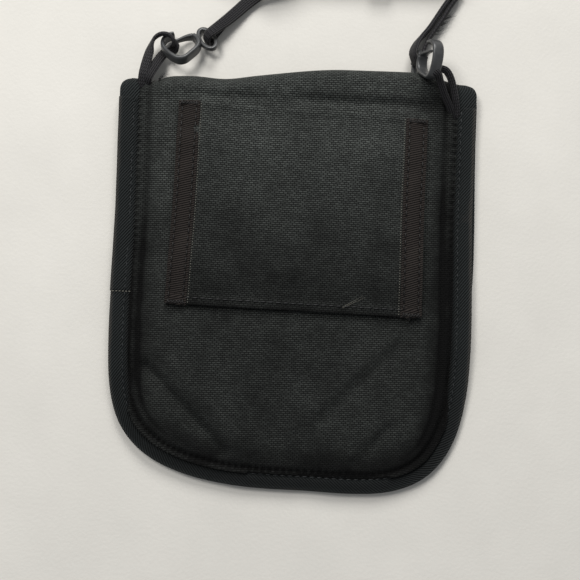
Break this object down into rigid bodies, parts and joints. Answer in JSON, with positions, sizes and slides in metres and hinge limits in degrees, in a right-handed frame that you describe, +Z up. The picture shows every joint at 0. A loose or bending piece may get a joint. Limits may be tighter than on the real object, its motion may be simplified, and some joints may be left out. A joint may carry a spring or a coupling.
{
  "type": "neck pouch wallet",
  "caption": "Flat bound-fabric neck pouch with a fold-over flap, belt tunnel on its back, zipped front pocket and a neck cord on two snap hooks.",
  "frame": {"origin": "on the flap's flat outer face, below the middle of the pouch", "axes": "+Z up, out of the pouch's back; +Y towards the top fold; +X to the right as seen from the back"},
  "size_m": [0.154, 0.2609, 0.0208],
  "materials": {
    "body_fabric": "woven, matt",
    "binding_tape": "twill tape, matt",
    "brown_tape": "woven tape, matt",
    "lining": "plain, matt",
    "cord": "braided, matt",
    "hook_plastic": "semi-gloss moulded",
    "closure": "hook and loop pile",
    "zip_tape": "woven, matt",
    "zip_plastic": "moulded coil",
    "slider_metal": "dark lacquer"
  },
  "bodies": {
    "flap": {"flap_panel": "body_fabric", "flap_lining": "lining", "flap_binding": "binding_tape", "flap_hook_strip": "closure", "top_fold": "body_fabric", "fold_binding_left": "binding_tape", "fold_binding_right": "binding_tape", "hang_loop_left": "cord", "hang_loop_right": "cord", "snap_hook_left": "hook_plastic", "snap_hook_right": "hook_plastic", "cord_eye_loop_left": "cord", "cord_eye_loop_right": "cord", "neck_cord_left": "cord", "neck_cord_right": "cord", "cord_hank": "cord", "cord_tie": "closure"},
    "pouch": {"back_panel": "body_fabric", "pocket_divider": "lining", "pouch_binding": "binding_tape", "front_panel_upper": "body_fabric", "front_panel_lower": "body_fabric", "front_loop_strip": "closure", "belt_panel": "body_fabric", "belt_tape_left": "brown_tape", "belt_tape_right": "brown_tape", "belt_bartack_1": "brown_tape", "belt_bartack_2": "brown_tape", "belt_bartack_3": "brown_tape", "belt_bartack_4": "brown_tape", "zip_tape_upper": "zip_tape", "zip_tape_lower": "zip_tape", "zip_chain_upper": "zip_plastic", "zip_chain_lower": "zip_plastic", "zip_stop_left": "slider_metal", "zip_stop_right": "slider_metal"},
    "slider": {"zip_slider": "slider_metal"},
    "pull": {"zip_pull": "slider_metal"},
    "gate_left": {"hook_gate_left": "hook_plastic"},
    "gate_right": {"hook_gate_right": "hook_plastic"}
  },
  "joints": [
    {"name": "pouch_lift", "type": "hinge", "parent": "flap", "child": "pouch", "pos_m": [0, 0.08, 0.007], "axis": [-1, 0, 0], "range_deg": [0, 85], "deforming": ["top_fold", "fold_binding_left", "fold_binding_right", "hang_loop_left", "hang_loop_right"]},
    {"name": "zip_slide", "type": "slide", "parent": "pouch", "child": "slider", "axis": [-1, 0, 0], "range_m": [0, 0.08]},
    {"name": "pull_flip", "type": "hinge", "parent": "slider", "child": "pull", "pos_m": [0.04, -0.044, 0.00128], "axis": [0, -1, 0], "range_deg": [0, 90]},
    {"name": "gate_left_flex", "type": "hinge", "parent": "flap", "child": "gate_left", "pos_m": [-0.0458, 0.10394, 0.0029], "axis": [-0.0175, 0.4997, 0.866], "range_deg": [0, 18], "stiffness_Nm_per_rad": 0.02},
    {"name": "gate_right_flex", "type": "hinge", "parent": "flap", "child": "gate_right", "pos_m": [0.05157, 0.10045, 0.00819], "axis": [0.848, 0, -0.5299], "range_deg": [0, 18], "stiffness_Nm_per_rad": 0.02}
  ]
}
